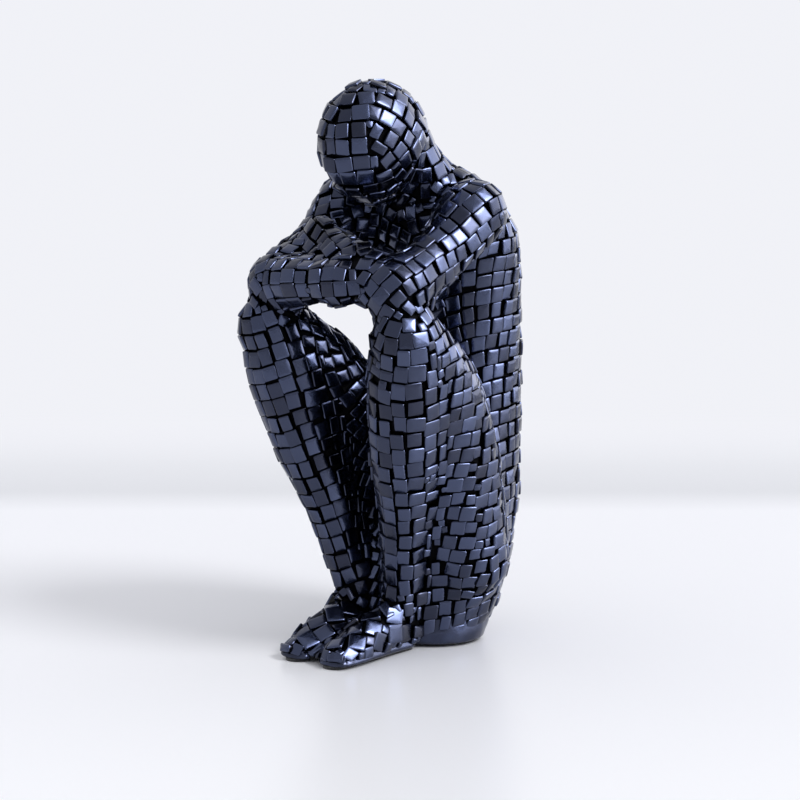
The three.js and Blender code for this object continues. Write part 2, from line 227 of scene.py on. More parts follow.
def surface_distance(points, triangles, start):
    """Shortest way over the surface, through triangles or along edges, from corners with a finite start."""
    distance = np.where(np.isfinite(start), start, UNREACHED)
    own = triangles.T.ravel()
    first = triangles[:, [1, 2, 0]].T.ravel()
    second = triangles[:, [2, 0, 1]].T.ravel()
    a = points[first] - points[own]
    b = points[second] - points[own]
    aa, bb, ab = (a * a).sum(1), (b * b).sum(1), (a * b).sum(1)
    det = np.maximum(aa * bb - ab * ab, TINY)
    qaa, qbb, qab = bb / det, aa / det, -ab / det
    q11 = qaa + 2 * qab + qbb
    la, lb = np.sqrt(aa), np.sqrt(bb)
    order = np.argsort(own, kind="stable")
    used, begins = np.unique(own[order], return_index=True)
    for _ in range(MOST_ROUNDS):
        da, db = distance[first], distance[second]
        q1d = (qaa + qab) * da + (qab + qbb) * db
        root = q1d * q1d - q11 * (qaa * da * da + 2 * qab * da * db + qbb * db * db - 1)
        through = (q1d + np.sqrt(np.maximum(root, 0))) / q11
        inside = (root >= 0) & (qaa * (da - through) + qab * (db - through) <= 0)
        inside &= qab * (da - through) + qbb * (db - through) <= 0
        reached = np.where(inside, through, np.minimum(da + la, db + lb))
        best = distance.copy()
        best[used] = np.minimum(distance[used], np.minimum.reduceat(reached[order], begins))
        change = (distance - best).max()
        distance = best
        if change < SETTLED:
            break
    return distance


def distance_from_plane(points, triangles, origin, direction):
    """Signed distance over the surface from where a plane cuts it."""
    height = (points - origin) @ (np.array(direction) / np.linalg.norm(direction))
    edges = edges_of(triangles)
    crossing = edges[(height[edges[:, 0]] > 0) != (height[edges[:, 1]] > 0)]
    start = np.full(len(points), np.nan)
    seeds = np.unique(crossing)
    start[seeds] = np.abs(height[seeds])
    return np.where(height < 0, -1, 1) * surface_distance(points, triangles, start)


def from_plane(origin, direction):
    """A field over the skin that counts from where a plane cuts it."""
    return lambda points, triangles: distance_from_plane(points, triangles, np.array(origin), direction)


# The common skin, and which casting each of its triangles belongs to

def common_skin():
    points, triangles = remeshed(CASTINGS + PEGS + ["seat_base"], SKIN_SWELL, SKIN_VOXEL)
    points = softened(points, triangles, SKIN_SOFTENING)
    points = smoothed(points, triangles, SKIN_SMOOTHING)
    points = points - SKIN_SWELL * corner_normals(points, triangles)
    return smoothed(points, triangles, SKIN_SMOOTHING), triangles


def casting_labels(places):
    """For every place, the number of the casting nearest to it."""
    all_points, all_triangles, owner = [], [], []
    count = 0
    for number, name in enumerate(CASTINGS):
        points, triangles = mesh_arrays(nodes[name].data)
        all_points += points.tolist()
        all_triangles += (triangles + count).tolist()
        owner += [number] * len(triangles)
        count += len(points)
    tree = BVHTree.FromPolygons(all_points, all_triangles)
    return np.array([owner[tree.find_nearest(place)[2]] for place in places.tolist()])


skin_points, skin_triangles = common_skin()
skin_normals = corner_normals(skin_points, skin_triangles)
skin_tree = BVHTree.FromPolygons(skin_points.tolist(), skin_triangles.tolist())
face_middles = skin_points[skin_triangles].mean(1)
labels = casting_labels(face_middles)


def faces_of(*names):
    """Which triangles of the skin belong to the named castings."""
    return np.isin(labels, [CASTINGS.index(name) for name in names])


def submesh(wanted):
    """The skin's corners that the wanted triangles use, and the triangles in their numbers."""
    used, renumbered = np.unique(skin_triangles[wanted], return_inverse=True)
    return used, renumbered.reshape(-1, 3)


def grown(wanted, rounds):
    """The wanted triangles and their neighbours, several rounds out."""
    for _ in range(rounds):
        touched = np.zeros(len(skin_points), bool)
        touched[skin_triangles[wanted]] = True
        wanted = touched[skin_triangles].any(1)
    return wanted


def snapped(place):
    """Nearest point of the skin, and the triangle that holds it."""
    found = skin_tree.find_nearest(place.tolist())
    return np.array(found[0]), found[2]


def normal_at(triangle):
    normal = skin_normals[skin_triangles[triangle]].sum(0)
    return normal / np.linalg.norm(normal)


# Rows: level lines of a distance over the skin, cut up into chips

def level_lines(field, level, triangles, points, allowed):
    """Polylines on which the field has the level, each with the triangle of every segment."""
    above = field > level
    corners = above[triangles]
    cut = np.nonzero(allowed & corners.any(1) & ~corners.all(1))[0].tolist()
    crossings = {}
    beside = {}
    crossed = {}
    for triangle in cut:
        crossed[triangle] = []
        for a, b in ((0, 1), (1, 2), (2, 0)):
            a, b = triangles[triangle, a], triangles[triangle, b]
            if above[a] == above[b]:
                continue
            edge = (min(a, b), max(a, b))
            if edge not in crossings:
                share = (level - field[edge[0]]) / (field[edge[1]] - field[edge[0]])
                crossings[edge] = points[edge[0]] + share * (points[edge[1]] - points[edge[0]])
            beside.setdefault(edge, []).append(triangle)
            crossed[triangle].append(edge)
    left = set(cut)
    lines = []
    while left:
        seed = min(left)
        left.discard(seed)
        chain, faces = list(crossed[seed]), [seed]
        for back in (False, True):
            while True:
                tip = chain[0] if back else chain[-1]
                step = next((triangle for triangle in beside[tip] if triangle in left), None)
                if step is None:
                    break
                left.discard(step)
                other = crossed[step][0] if crossed[step][1] == tip else crossed[step][1]
                if back:
                    chain.insert(0, other)
                    faces.insert(0, step)
                else:
                    chain.append(other)
                    faces.append(step)
        lines.append((np.array([crossings[edge] for edge in chain]), faces, chain[0] == chain[-1]))
    return lines


class Row:
    """One level line with its length, from which places are read by distance along it."""

    def __init__(self, points, closed):
        self.points, self.closed = points, closed
        steps = np.linalg.norm(np.diff(points, axis=0), axis=1)
        self.along = np.concatenate([[0], np.cumsum(steps)])
        self.length = self.along[-1]

    def at(self, distance):
        """The place at a distance, straight on where that lies beyond an end."""
        if self.closed:
            distance = distance % self.length
        place = np.array([np.interp(distance, self.along, self.points[:, k]) for k in range(3)])
        if distance < 0:
            place += distance * unit(self.points[1] - self.points[0])
        if distance > self.length:
            place += (distance - self.length) * unit(self.points[-1] - self.points[-2])
        return place


def column_value(seed, group, column):
    """A number from 0 to 1 that stays with a column."""
    return random.Random(f"{seed} {group} {column}").random()


# Gaps beside and above chips that stand close together, and how far chance moves a stair's steps
CLOSE_GAP = (0.06, 0.1)
CLOSE_TOP_GAP = (0.06, 0.2)
CLOSE_BOTTOM_GAP = (0.05, 0.15)
FIRST_GAP = (0.08, 0.12)
STAIR_CHANCE = 0.2


class Style:
    """How one group's chips are cut and set."""

    def __init__(self, **given):
        # Width along the row and height across it
        self.pitch = CHIP_PITCH
        self.row = ROW_PITCH
        # Share of the chips that stand close to the next one, share with a slot above, and the slots' width
        self.merge = 0.55
        self.row_slot = 0.12
        self.slot = (0.9, 2.0)
        # How far a column leans from row to row, and how far it is moved across them: by chance or in a stair
        self.lean = 0.0
        self.step = 0.0
        self.stair = 0.0
        # Tilt of the tops in degrees, how they stand to the skin, and the height under which no chip reaches
        self.tilt = 4.5
        self.proud = (-0.7, 0.75)
        self.lowest = BAND_TOP - 0.4
        # Direction in which a row's first column is looked for, by casting
        self.guide = lambda name: (1, 0, 0)
        vars(self).update(given)

    def side_gap(self, rng):
        """Half the gap beside a chip: a thin line or a dark slot."""
        close = rng.random() < self.merge
        return rng.uniform(*CLOSE_GAP) if close else rng.uniform(*self.slot) / 2

    def top_gap(self, rng):
        """Half the gap above a chip: a thin line or a dark slot."""
        return rng.uniform(*self.slot) / 2 if rng.random() < self.row_slot else rng.uniform(*CLOSE_TOP_GAP)

    def column_shift(self, group, column):
        """How far a column is moved across its rows: by chance, or up a stair that starts anew each chip."""
        chance = column_value("step", group, column) - 0.5
        if self.stair:
            return self.row * ((self.stair * column + STAIR_CHANCE * chance) % 1 - 0.5)
        return self.step * chance


# Chip widths as shares of the pitch, and the shortest chip that ends a row
NARROWEST = 0.82
WIDTH_RANGE = 0.36
SHORTEST_END = 0.3

# How far the end chips of a row may reach beyond their group
ROW_OVERRUN = 0.6


def cells_of(row, start, group, style):
    """Places for chips along a row as (from, to, column), laid both ways from the start."""

    def width(column):
        return style.pitch * (NARROWEST + WIDTH_RANGE * column_value("width", group, column))

    if row.closed:
        count = max(2, round(row.length / style.pitch))
        columns = [index if index <= count // 2 else index - count for index in range(count)]
        widths = [width(column) for column in columns]
        scale = row.length / sum(widths)
        place = start - widths[0] * scale / 2
        cells = []
        for column, wide in zip(columns, widths):
            cells.append((place, place + wide * scale, column))
            place += wide * scale
        return cells
    first, last = -ROW_OVERRUN, row.length + ROW_OVERRUN
    half = width(0) / 2
    cells = [(max(first, start - half), min(last, start + half), 0)]
    for way in (1, -1):
        place, column = start + way * half, way
        while first < place < last:
            end = min(max(place + way * width(column), first), last)
            if abs(end - place) > SHORTEST_END * style.pitch:
                cells.append((min(place, end), max(place, end), column))
            place += way * width(column)
            column += way
    return sorted(cells)


# What counts as under a chip: the share of its width and height, and how near its middle
UNDER = 0.97
UNDER_NEAR = 1.2


def under_any(point, tiles):
    """Whether a point of the skin lies under one of the chips, given as middles, across and along."""
    if tiles is None:
        return False
    middles, across, along = tiles
    away = point - middles
    wide, high = (across * across).sum(1), (along * along).sum(1)
    inside = np.abs((away * across).sum(1)) < UNDER * wide
    inside &= np.abs((away * along).sum(1)) < UNDER * high
    inside &= (away * away).sum(1) < UNDER_NEAR * (wide + high)
    return bool(inside.any())


# What counts as right below: how many rows away at most, and how many chip widths beside
BELOW_ROWS = 1.6
BELOW_CHIPS = 0.6


def shift_below(place, cells, style):
    """How far the cell right below the place is moved across its row, or None where there is none."""
    if cells is None:
        return None
    places, ahead, shifts = cells
    away = place - places
    beside = np.abs((away * ahead).sum(1))
    beside[np.linalg.norm(away, axis=1) > BELOW_ROWS * style.row] = math.inf
    nearest = beside.argmin()
    return shifts[nearest] if beside[nearest] < BELOW_CHIPS * style.pitch else None


# Where a chip's corners may lie to its middle, and how far the skin may turn from the chip
DEEPEST, HIGHEST = -3.4, 2.0
FACING = 0.25

# Shares of its height that a chip is cut to until it fits, and its least height and width in pitches
CUTS = np.linspace(1, 0.1, 10)
LEAST_HEIGHT = 0.35
LEAST_WIDTH = 0.3

# Undersides, which have no chips: how far they face down, and how high they reach
UNDERSIDE = -0.8
UNDERSIDE_RISE = 2


def chip_corners(row, cell, style, faces, slots, below):
    """The four corners of a chip on the skin and its casting, or None where no chip fits."""
    low, high, shift = cell
    own, near = faces
    left_gap, right_gap, top_gap, bottom_gap = slots
    start, end = row.at(low + left_gap), row.at(high - right_gap)
    centre = (start + end) / 2
    middle, triangle = snapped(centre)
    normal = normal_at(triangle)
    if not own[triangle] or (normal[2] < UNDERSIDE and middle[2] < style.lowest + UNDERSIDE_RISE):
        return None
    ahead = unit(end - start)
    normal = unit(normal - ahead * normal.dot(ahead))
    up = np.cross(normal, ahead)
    lean = style.lean / style.row

    def fits(spot, face, lower):
        """Whether a point of the chip's edge lies on its own stretch of skin, and on no chip below it."""
        if not (near[face] and spot[2] > style.lowest and DEEPEST < (spot - middle).dot(normal) < HIGHEST):
            return False
        return normal_at(face).dot(normal) > FACING and not (lower and under_any(spot, below))

    edges = []
    for way, gap in ((-1, bottom_gap), (1, top_gap)):
        reach = style.row / 2 - gap
        for cut in CUTS:
            move = way * reach * cut
            spots = [
                snapped(place + up * (move + shift) + ahead * lean * move) for place in (start, centre, end)
            ]
            if all(fits(spot, face, way < 0) for spot, face in spots):
                break
        else:
            return None
        edges.append((spots[0][0], spots[2][0]))
    (a, b), (d, c) = edges
    if np.linalg.norm((d + c) / 2 - (a + b) / 2) < LEAST_HEIGHT * style.row:
        return None
    if np.linalg.norm(b - a) < LEAST_WIDTH * style.pitch:
        return None
    return np.array([a, b, c, d]), labels[triangle]


# Points on each rounded corner of a chip's outline
CORNER_STEPS = 3


def chip_outline(wide, high):
    """Outline of a chip on a square from -1 to 1, its corners rounded."""
    outline = []
    for index, (x, y) in enumerate(((-1, -1), (1, -1), (1, 1), (-1, 1))):
        for step in range(CORNER_STEPS):
            turn = math.pi + index * math.pi / 2 + step * math.pi / 2 / (CORNER_STEPS - 1)
            across = x * (wide - CORNER_ROUNDING) + CORNER_ROUNDING * math.cos(turn)
            along = y * (high - CORNER_ROUNDING) + CORNER_ROUNDING * math.sin(turn)
            outline.append((across / wide, along / high))
    return np.array(outline)


def half_edges(corners):
    """Half the width and half the height of a chip, as vectors."""
    a, b, c, d = corners
    return (b + c - a - d) / 4, (c + d - a - b) / 4


# How flat a chip is over a curved skin, and the smallest half width that its corners are rounded for
FLATNESS = 0.85
LEAST_HALF = 0.9

# Chance in a chip: its tilt, its twist in radians, the size of its rounded edge, and its tone
TILT_SPREAD = 0.6
TWIST_SPREAD = 0.045
ROUNDING_RANGE = (0.8, 1.25)
TONE_RANGE = (0.3, 1)

# Side of a chip: how its foot and its upper edge are drawn in, how many roundings down it is straight,
# where its rounded edge is cut, and the share of the bulge halfway to the middle
FOOT_INSET = 0.35
EDGE_INSET = 0.03
STRAIGHT_FROM = 2.6
EDGE_CUT = 0.3
DOME_SHARE = 0.7


def chip_mesh(corners, style, rng):
    """Points, faces and tones of one chip: a thick tile with rounded edges and a slightly uneven top, its
    lower sides painted in shade.
    """
    middle = corners.mean(0)
    normal = unit(np.cross(corners[2] - corners[0], corners[3] - corners[1]))
    corners = corners - FLATNESS * ((corners - middle) @ normal)[:, None] * normal
    across, along = half_edges(corners)
    wide, high = np.linalg.norm(across), np.linalg.norm(along)
    outline = chip_outline(max(wide, LEAST_HALF), max(high, LEAST_HALF))
    slope = math.tan(math.radians(style.tilt))
    tilt = [rng.gauss(0, TILT_SPREAD) * slope * wide, rng.gauss(0, TILT_SPREAD) * slope * high]
    top = rng.uniform(*style.proud)
    twist = rng.gauss(0, TWIST_SPREAD)

    def ring(inset, height):
        """The outline drawn in from the chip's sides, at a height over its top."""
        share = 1 - inset / np.array([wide, high])
        u, v = outline[:, 0] * share[0], outline[:, 1] * share[1]
        weights = np.stack([(1 - u) * (1 - v), (1 + u) * (1 - v), (1 + u) * (1 + v), (1 - u) * (1 + v)], 1)
        points = weights / 4 @ corners
        turn = twist * (v[:, None] * across * high / wide - u[:, None] * along * wide / high)
        rise = top + height + tilt[0] * u + tilt[1] * v
        return points + turn + rise[:, None] * normal

    rounding = EDGE_ROUNDING * rng.uniform(*ROUNDING_RANGE)
    rings = [
        ring(FOOT_INSET, -CHIP_THICKNESS),
        ring(0, -STRAIGHT_FROM * rounding),
        ring(EDGE_INSET, -rounding),
        ring(EDGE_CUT * rounding, -EDGE_CUT * rounding),
        ring(rounding, 0),
        ring(min(wide, high) / 2, DOME_SHARE * DOME),
    ]
    count = len(outline)
    points = np.concatenate(rings + [(middle + (top + DOME) * normal)[None]])
    faces = [tuple(reversed(range(count)))]
    for level in range(len(rings) - 1):
        lower, upper = level * count, (level + 1) * count
        for here in range(count):
            after = (here + 1) % count
            faces.append((lower + here, lower + after, upper + after, upper + here))
    last = (len(rings) - 1) * count
    faces += [(last + here, last + (here + 1) % count, len(rings) * count) for here in range(count)]
    tone_and_shade = np.full(len(points), rng.uniform(*TONE_RANGE))
    # The two lowest rings, the chip's sides down in the gap, get tone 0: painted shade, near black
    tone_and_shade[:2 * count] = 0
    return points, faces, tone_and_shade


# Chips by casting, and the middle, half width and half height of each chip
chips = {name: [] for name in CASTINGS}
laid = []


def lay_chip(corners, label, style, rng):
    """Adds a chip to its casting's piece, and notes the place that it covers."""
    chips[CASTINGS[label]].append(chip_mesh(corners, style, rng))
    laid.append((corners.mean(0), *half_edges(corners)))


def triangle_gradient(corners, points, field):
    """Direction in which the field grows on one triangle."""
    a, b, c = points[corners]
    fa, fb, fc = field[corners]
    normal = np.cross(b - a, c - a)
    return ((fb - fa) * np.cross(normal, a - c) + (fc - fa) * np.cross(normal, b - a)) / normal.dot(normal)


# Rings of triangles around a group that its field and its chips' corners may reach
FIELD_MARGIN = 3
CHIP_MARGIN = 1

# Level lines shorter than this carry no chips
SHORTEST_ROW = 2

# How often a column is moved anew instead of following the one below it
NEW_COLUMN = 0.04


def lay_rows(group, wanted, field_on, style, seed):
    """Covers the wanted triangles of the skin with rows of chips."""
    around = grown(wanted, FIELD_MARGIN)
    near = grown(wanted, CHIP_MARGIN)
    used, triangles = submesh(around)
    points = skin_points[used]
    field = field_on(points, triangles)
    allowed = wanted[around]
    face_numbers = np.nonzero(around)[0]
    values = field[np.unique(triangles[allowed])]
    rng = random.Random(seed)
    tiles_below, cells_below = None, None
    for number in range(math.floor(values.min() / style.row), math.ceil(values.max() / style.row)):
        before = len(laid)
        placed = []
        for line, faces, closed in level_lines(field, (number + 0.5) * style.row, triangles, points, allowed):
            row = Row(line, closed)
            if row.length < SHORTEST_ROW:
                continue

            # The row runs so that the field grows to its left, seen from outside
            here = len(faces) // 2
            triangle = face_numbers[faces[here]]
            ahead = line[min(here + 1, len(line) - 1)] - line[here]
            gradient = triangle_gradient(triangles[faces[here]], points, field)
            if np.cross(normal_at(triangle), ahead).dot(gradient) < 0:
                row = Row(line[::-1], closed)

            guide = np.array(style.guide(CASTINGS[labels[triangle]]), float)
            start = row.along[np.argmax(row.points @ guide)] + style.lean * number
            if not closed:
                start = min(max(start, 0), row.length)
            gap = rng.uniform(*FIRST_GAP)
            for begin, end, column in cells_of(row, start, group, style):
                next_gap = style.side_gap(rng)
                place = row.at((begin + end) / 2)
                shift = shift_below(place, cells_below, style)
                if shift is None or rng.random() < NEW_COLUMN:
                    shift = style.column_shift(group, column)
                placed.append((place, unit(row.at(end) - row.at(begin)), shift))
                slots = (gap, next_gap, style.top_gap(rng), rng.uniform(*CLOSE_BOTTOM_GAP))
                found = chip_corners(row, (begin, end, shift), style, (wanted, near), slots, tiles_below)
                gap = next_gap
                if found is not None:
                    lay_chip(*found, style, rng)
        tiles_below = [np.array(part) for part in zip(*laid[before:])] or None
        cells_below = [np.array(part) for part in zip(*placed)] or None


# Bare spots between the rows, which cut chips fill

def tree_of(points, numbers):
    tree = KDTree(len(numbers))
    for number in numbers:
        tree.insert(points[number], number)
    tree.balance()
    return tree


# How far beside and over a chip the skin counts as covered by it
COVER_MARGIN = 0.3
COVER_DEPTH = 3.5


def covered_corners(tree):
    """Which corners of the skin lie under a chip."""
    covered = np.zeros(len(skin_points), bool)
    for middle, across, along in laid:
        wide, high = np.linalg.norm(across), np.linalg.norm(along)
        in_reach = tree.find_range(middle.tolist(), math.hypot(wide, high) + 1)
        found = np.array([number for _, number, _ in in_reach])
        if not len(found):
            continue
        away = skin_points[found] - middle
        normal = unit(np.cross(across, along))
        inside = np.abs(away @ across) < wide * (wide + COVER_MARGIN)
        inside &= np.abs(away @ along) < high * (high + COVER_MARGIN)
        inside &= (np.abs(away @ normal) < COVER_DEPTH) & (skin_normals[found] @ normal > 0)
        covered[found[inside]] = True
    return covered


# Spots that are bare for more than the radius around get a chip, whose half width is at most the reach
BARE_RADIUS = 1.5
FILLER_REACH = 3.1

# How much of a bare spot a chip takes, its lengths in widths, how far the skin may turn under it, and how
# far above the chips' lowest height the spots begin
FILLER_SHARE = 0.95
FILLER_LENGTHS = (2.2, 1.6, 1.0, 0.7)
FILLER_FACING = 0.1
FILLER_RISE = 0.6


def fill_bare(wanted, style, seed):
    """Lays small cut chips where the rows leave wide gaps."""
    everywhere = tree_of(skin_points, range(len(skin_points)))
    outside = np.ones(len(skin_points), bool)
    outside[skin_triangles[wanted]] = False
    outside |= skin_points[:, 2] < style.lowest + FILLER_RISE
    closed = outside | covered_corners(everywhere)
    taken = tree_of(skin_points, np.nonzero(closed)[0].tolist())
    middles = tree_of([middle for middle, _, _ in laid], range(len(laid)))
    bare = np.nonzero(~closed)[0]
    room = np.array([taken.find(skin_points[number])[2] for number in bare.tolist()])
    places = skin_points[bare]
    rng = random.Random(seed)
    while len(room) and room.max() > BARE_RADIUS:
        pick = room.argmax()
        reach = min(room[pick] * FILLER_SHARE, FILLER_REACH)
        middle = places[pick]
        normal = skin_normals[bare[pick]]
        across = laid[middles.find(middle)[1]][1]
        across = unit(across - normal * normal.dot(across))
        along = np.cross(normal, across)
        for length in FILLER_LENGTHS:
            corners = ((-1, -length), (1, -length), (1, length), (-1, length))
            spots = [snapped(middle + reach * (x * across + y * along)) for x, y in corners]
            free = length <= 1 or not any(closed[everywhere.find(spot.tolist())[1]] for spot, _ in spots)
            level = all(normal_at(face).dot(normal) > FILLER_FACING for _, face in spots)
            if free and level and all(spot[2] > style.lowest for spot, _ in spots):
                lay_chip(np.array([spot for spot, _ in spots]), labels[snapped(middle)[1]], style, rng)
                break
        away = places - middle
        beyond = np.maximum(np.abs(away @ along) - (length - 1) * reach, 0)
        beside = np.hypot(np.abs(away @ across), beyond)
        room = np.minimum(room, np.maximum(beside, np.abs(away @ normal)) - reach)


# The cladding, group by group

# Lower end of the left shin and its run up to the knee
SHIN_FOOT = np.array([13, -15, 20])
SHIN_RUN = np.array([24, -25.5, 117])

# How far ahead of its shin the front of a thigh begins
KNEE_AHEAD = 1

# Where the rows of the trunk begin, and how they tip
TRUNK_START = (0, -25, 6.5)
TRUNK_UP = (0, -0.17, 1)

# Middle of the head, the side on which its chips stand as diamonds, and how far that reaches around
HEAD_MIDDLE = np.array([0, -19, 217.5])
PATCH_SIDE = unit(np.array([0.96, -0.09, 0.25]))
PATCH_EDGE = 0.66


def middle_of(name):
    low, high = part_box(name)
    return (np.array(low) + np.array(high)) / 2 * METRE


def shin_line(side):
    """Lower end and run of the shin on one side."""
    mirror = np.array([side, 1, 1])
    return SHIN_FOOT * mirror, SHIN_RUN * mirror


def leg_faces(name, side):
    """Faces of a shin, and of the front of its thigh, where the shin's rows go on over the knee."""
    foot, run = shin_line(side)
    forward = unit(np.cross(run, (1, 0, 0)))
    ahead = (face_middles - foot) @ (forward * np.sign(-forward[1]))
    return faces_of(f"{name}_shin") | (faces_of(f"{name}_thigh") & (ahead > KNEE_AHEAD))


def lay_trunk(faces):
    """Rows around the torso, the pelvis and the thighs, as a stair from column to column."""
    guides = {"left_thigh": (1, 0.1, 0), "right_thigh": (-1, 0.1, 0)}
    style = Style(lean=1.2, stair=0.37, guide=lambda name: guides.get(name, (0, 1, 0)))
    lay_rows("trunk", faces, from_plane(TRUNK_START, TRUNK_UP), style, seed=2)


def lay_leg(name, side, faces):
    """Rows across the shin, and rows of larger and rougher chips across the foot."""
    leg = Style(row=7.4, step=4, merge=0.4, row_slot=0.35, guide=lambda _: (0.25 * side, -1, 0))
    lay_rows(f"{name}_shin", faces, from_plane(*shin_line(side)), leg, seed=3)
    toes = Style(pitch=8.8, row=8.4, merge=0.3, row_slot=0.4, tilt=9, proud=(-0.6, 0.9), lowest=FOOT_RIM)
    across_foot = from_plane((side * 12, -20, 10), (side * 0.5, -0.85, 0.1))
    lay_rows(f"{name}_foot", faces_of(f"{name}_foot"), across_foot, toes, seed=4)


def lay_arm(name, side):
    """Rows along the arm, with a row line on the side that faces forward."""
    shoulder, elbow, wrist = [middle_of(f"{name}_{joint}_peg") for joint in ("shoulder", "elbow", "wrist")]
    outward = np.array([side * 0.55, -0.8, 0.25])
    sleeve = Style(merge=0.5, step=1.2, tilt=6, proud=(-0.7, 0.7), guide=lambda _: (0, 0, 1))
    along_arm = from_plane(elbow, np.cross(elbow - shoulder, outward))
    lay_rows(f"{name}_upper_arm", faces_of(f"{name}_upper_arm"), along_arm, sleeve, seed=5)
    cuff = Style(pitch=7.4, merge=0.5, step=1.2, tilt=5, guide=lambda _: (side, 0, 0))
    along_forearm = from_plane(wrist, np.cross(wrist - elbow, (0, 1, 0)))
    lay_rows(f"{name}_forearm", faces_of(f"{name}_forearm", f"{name}_hand"), along_forearm, cuff, seed=6)


def lay_head():
    """Level rows around the head, and a patch of chips that stand as diamonds on one side."""
    tall = (-1.0, 1.4)
    away = face_middles - HEAD_MIDDLE
    patch_faces = faces_of("head") & (away @ PATCH_SIDE > PATCH_EDGE * np.linalg.norm(away, axis=1))
    level = Style(
        pitch=7.5, row=7.2, merge=0.25, row_slot=0.6, tilt=6, proud=tall, guide=lambda _: (0.3, -1, 0)
    )
    lay_rows("skull", faces_of("head") & ~patch_faces, from_plane(HEAD_MIDDLE, (0, -0.2, 1)), level, seed=7)
    diamond = Style(row=7.0, merge=0.3, row_slot=0.6, tilt=5, proud=tall, guide=lambda _: (0.6, 0.5, 0.6))
    lay_rows("patch", patch_faces, from_plane(HEAD_MIDDLE, (-0.25, 0.65, 0.7)), diamond, seed=8)


def lay_all():
    legs = {name: leg_faces(name, side) for name, side in SIDES.items()}
    lay_trunk(faces_of(*TRUNK) & ~legs["left"] & ~legs["right"])
    for name, side in SIDES.items():
        lay_leg(name, side, legs[name])
        lay_arm(name, side)
    lay_head()
    feet = faces_of("left_foot", "right_foot")
    fill_bare(~feet, Style(tilt=8, proud=(-0.9, 0.2)), seed=9)
    fill_bare(feet, Style(tilt=8, proud=(-0.9, 0.2), lowest=FOOT_RIM), seed=10)


lay_all()


# Materials

def new_material(name, colour, roughness, metallic=0.0):
    material = bpy.data.materials.new(name)
    material.use_nodes = True
    shader = material.node_tree.nodes["Principled BSDF"]
    shader.inputs["Base Color"].default_value = (*colour, 1)
    shader.inputs["Roughness"].default_value = roughness
    shader.inputs["Metallic"].default_value = metallic
    return material, material.node_tree, shader


def noise(tree, scale, detail):
    coordinates = tree.nodes.new("ShaderNodeTexCoord")
    texture = tree.nodes.new("ShaderNodeTexNoise")
    texture.inputs["Scale"].default_value = scale
    texture.inputs["Detail"].default_value = detail
    tree.links.new(coordinates.outputs["Object"], texture.inputs["Vector"])
    return texture


def bumped(tree, shader, texture, strength, distance):
    """Gives the shader a bump from the texture."""
    bump = tree.nodes.new("ShaderNodeBump")
    bump.inputs["Strength"].default_value = strength
    bump.inputs["Distance"].default_value = distance
    tree.links.new(texture.outputs["Fac"], bump.inputs["Height"])
    tree.links.new(bump.outputs["Normal"], shader.inputs["Normal"])


def ramp(tree, factor, stops):
    """Colours between the stops, each a place and a colour."""
    node = tree.nodes.new("ShaderNodeValToRGB")
    for element, (place, colour) in zip(node.color_ramp.elements, (stops[0], stops[-1])):
        element.position = place
        element.color = (*colour, 1)
    for place, colour in stops[1:-1]:
        node.color_ramp.elements.new(place).color = (*colour, 1)
    tree.links.new(factor, node.inputs["Fac"])
    return node.outputs["Color"]


def spread(tree, value, low, high):
    """The value from low to high as a share from 0 to 1."""
    node = tree.nodes.new("ShaderNodeMapRange")
    node.inputs["From Min"].default_value = low
    node.inputs["From Max"].default_value = high
    tree.links.new(value, node.inputs["Value"])
    return node.outputs["Result"]


def navy_paint(name, tones_and_shade):
    """Metallic glaze, its colour by the tone of the chip, where tone 0 is painted shade on the chips' lower
    sides, or by a soft cloud where there are no chips.
    """
    material, tree, shader = new_material(name, (0.04, 0.05, 0.1), 0.24, 1.0)
    shader.inputs["Specular Tint"].default_value = (0.6, 0.6, 0.62, 1)
    shader.inputs["Coat Weight"].default_value = 0.5
    shader.inputs["Coat Roughness"].default_value = 0.15
    if tones_and_shade:
        tone_and_shade = tree.nodes.new("ShaderNodeAttribute")
        tone_and_shade.attribute_name = "tone_and_shade"
    else:
        tone_and_shade = noise(tree, 120, 2)
    # Tone 0 paints the chips' lower sides near black, as the shade in the gaps
    stops = [(0.0, (0.001, 0.001, 0.002)), (0.3, (0.013, 0.017, 0.038)), (1.0, (0.051, 0.066, 0.128))]
    tree.links.new(ramp(tree, tone_and_shade.outputs["Fac"], stops), shader.inputs["Base Color"])
    bumped(tree, shader, noise(tree, 700, 3), 0.2, 0.0002)
    return material


def painted_joint_shade():
    # Near-black paint that stands in for the shade in the gaps between the chips
    material, tree, shader = new_material("painted_joint_shade", (0.002, 0.002, 0.003), 0.9)
    shader.inputs["Specular IOR Level"].default_value = 0.08
    bumped(tree, shader, noise(tree, 600, 2), 0.3, 0.0003)
    return material


def black_felt():
    material, tree, shader = new_material("black_felt", (0.012, 0.012, 0.014), 1.0)
    shader.inputs["Sheen Weight"].default_value = 0.4
    fibres = noise(tree, 2600, 4)
    stops = [(0.3, (0.006, 0.006, 0.007)), (0.7, (0.03, 0.03, 0.034))]
    tree.links.new(ramp(tree, fibres.outputs["Fac"], stops), shader.inputs["Base Color"])
    bumped(tree, shader, fibres, 0.8, 0.0004)
    return material


def peg_steel():
    material, tree, shader = new_material("peg_steel", (0.55, 0.56, 0.58), 0.35, 1.0)
    turning = noise(tree, 1500, 2)
    stops = [(0.35, (0.42, 0.43, 0.45)), (0.65, (0.6, 0.61, 0.63))]
    tree.links.new(ramp(tree, turning.outputs["Fac"], stops), shader.inputs["Base Color"])
    bumped(tree, shader, turning, 0.3, 0.0001)
    return material


navy = navy_paint("navy_glaze", True)
smooth_navy = navy_paint("smooth_navy", False)
joint_shade = painted_joint_shade()


# Pieces

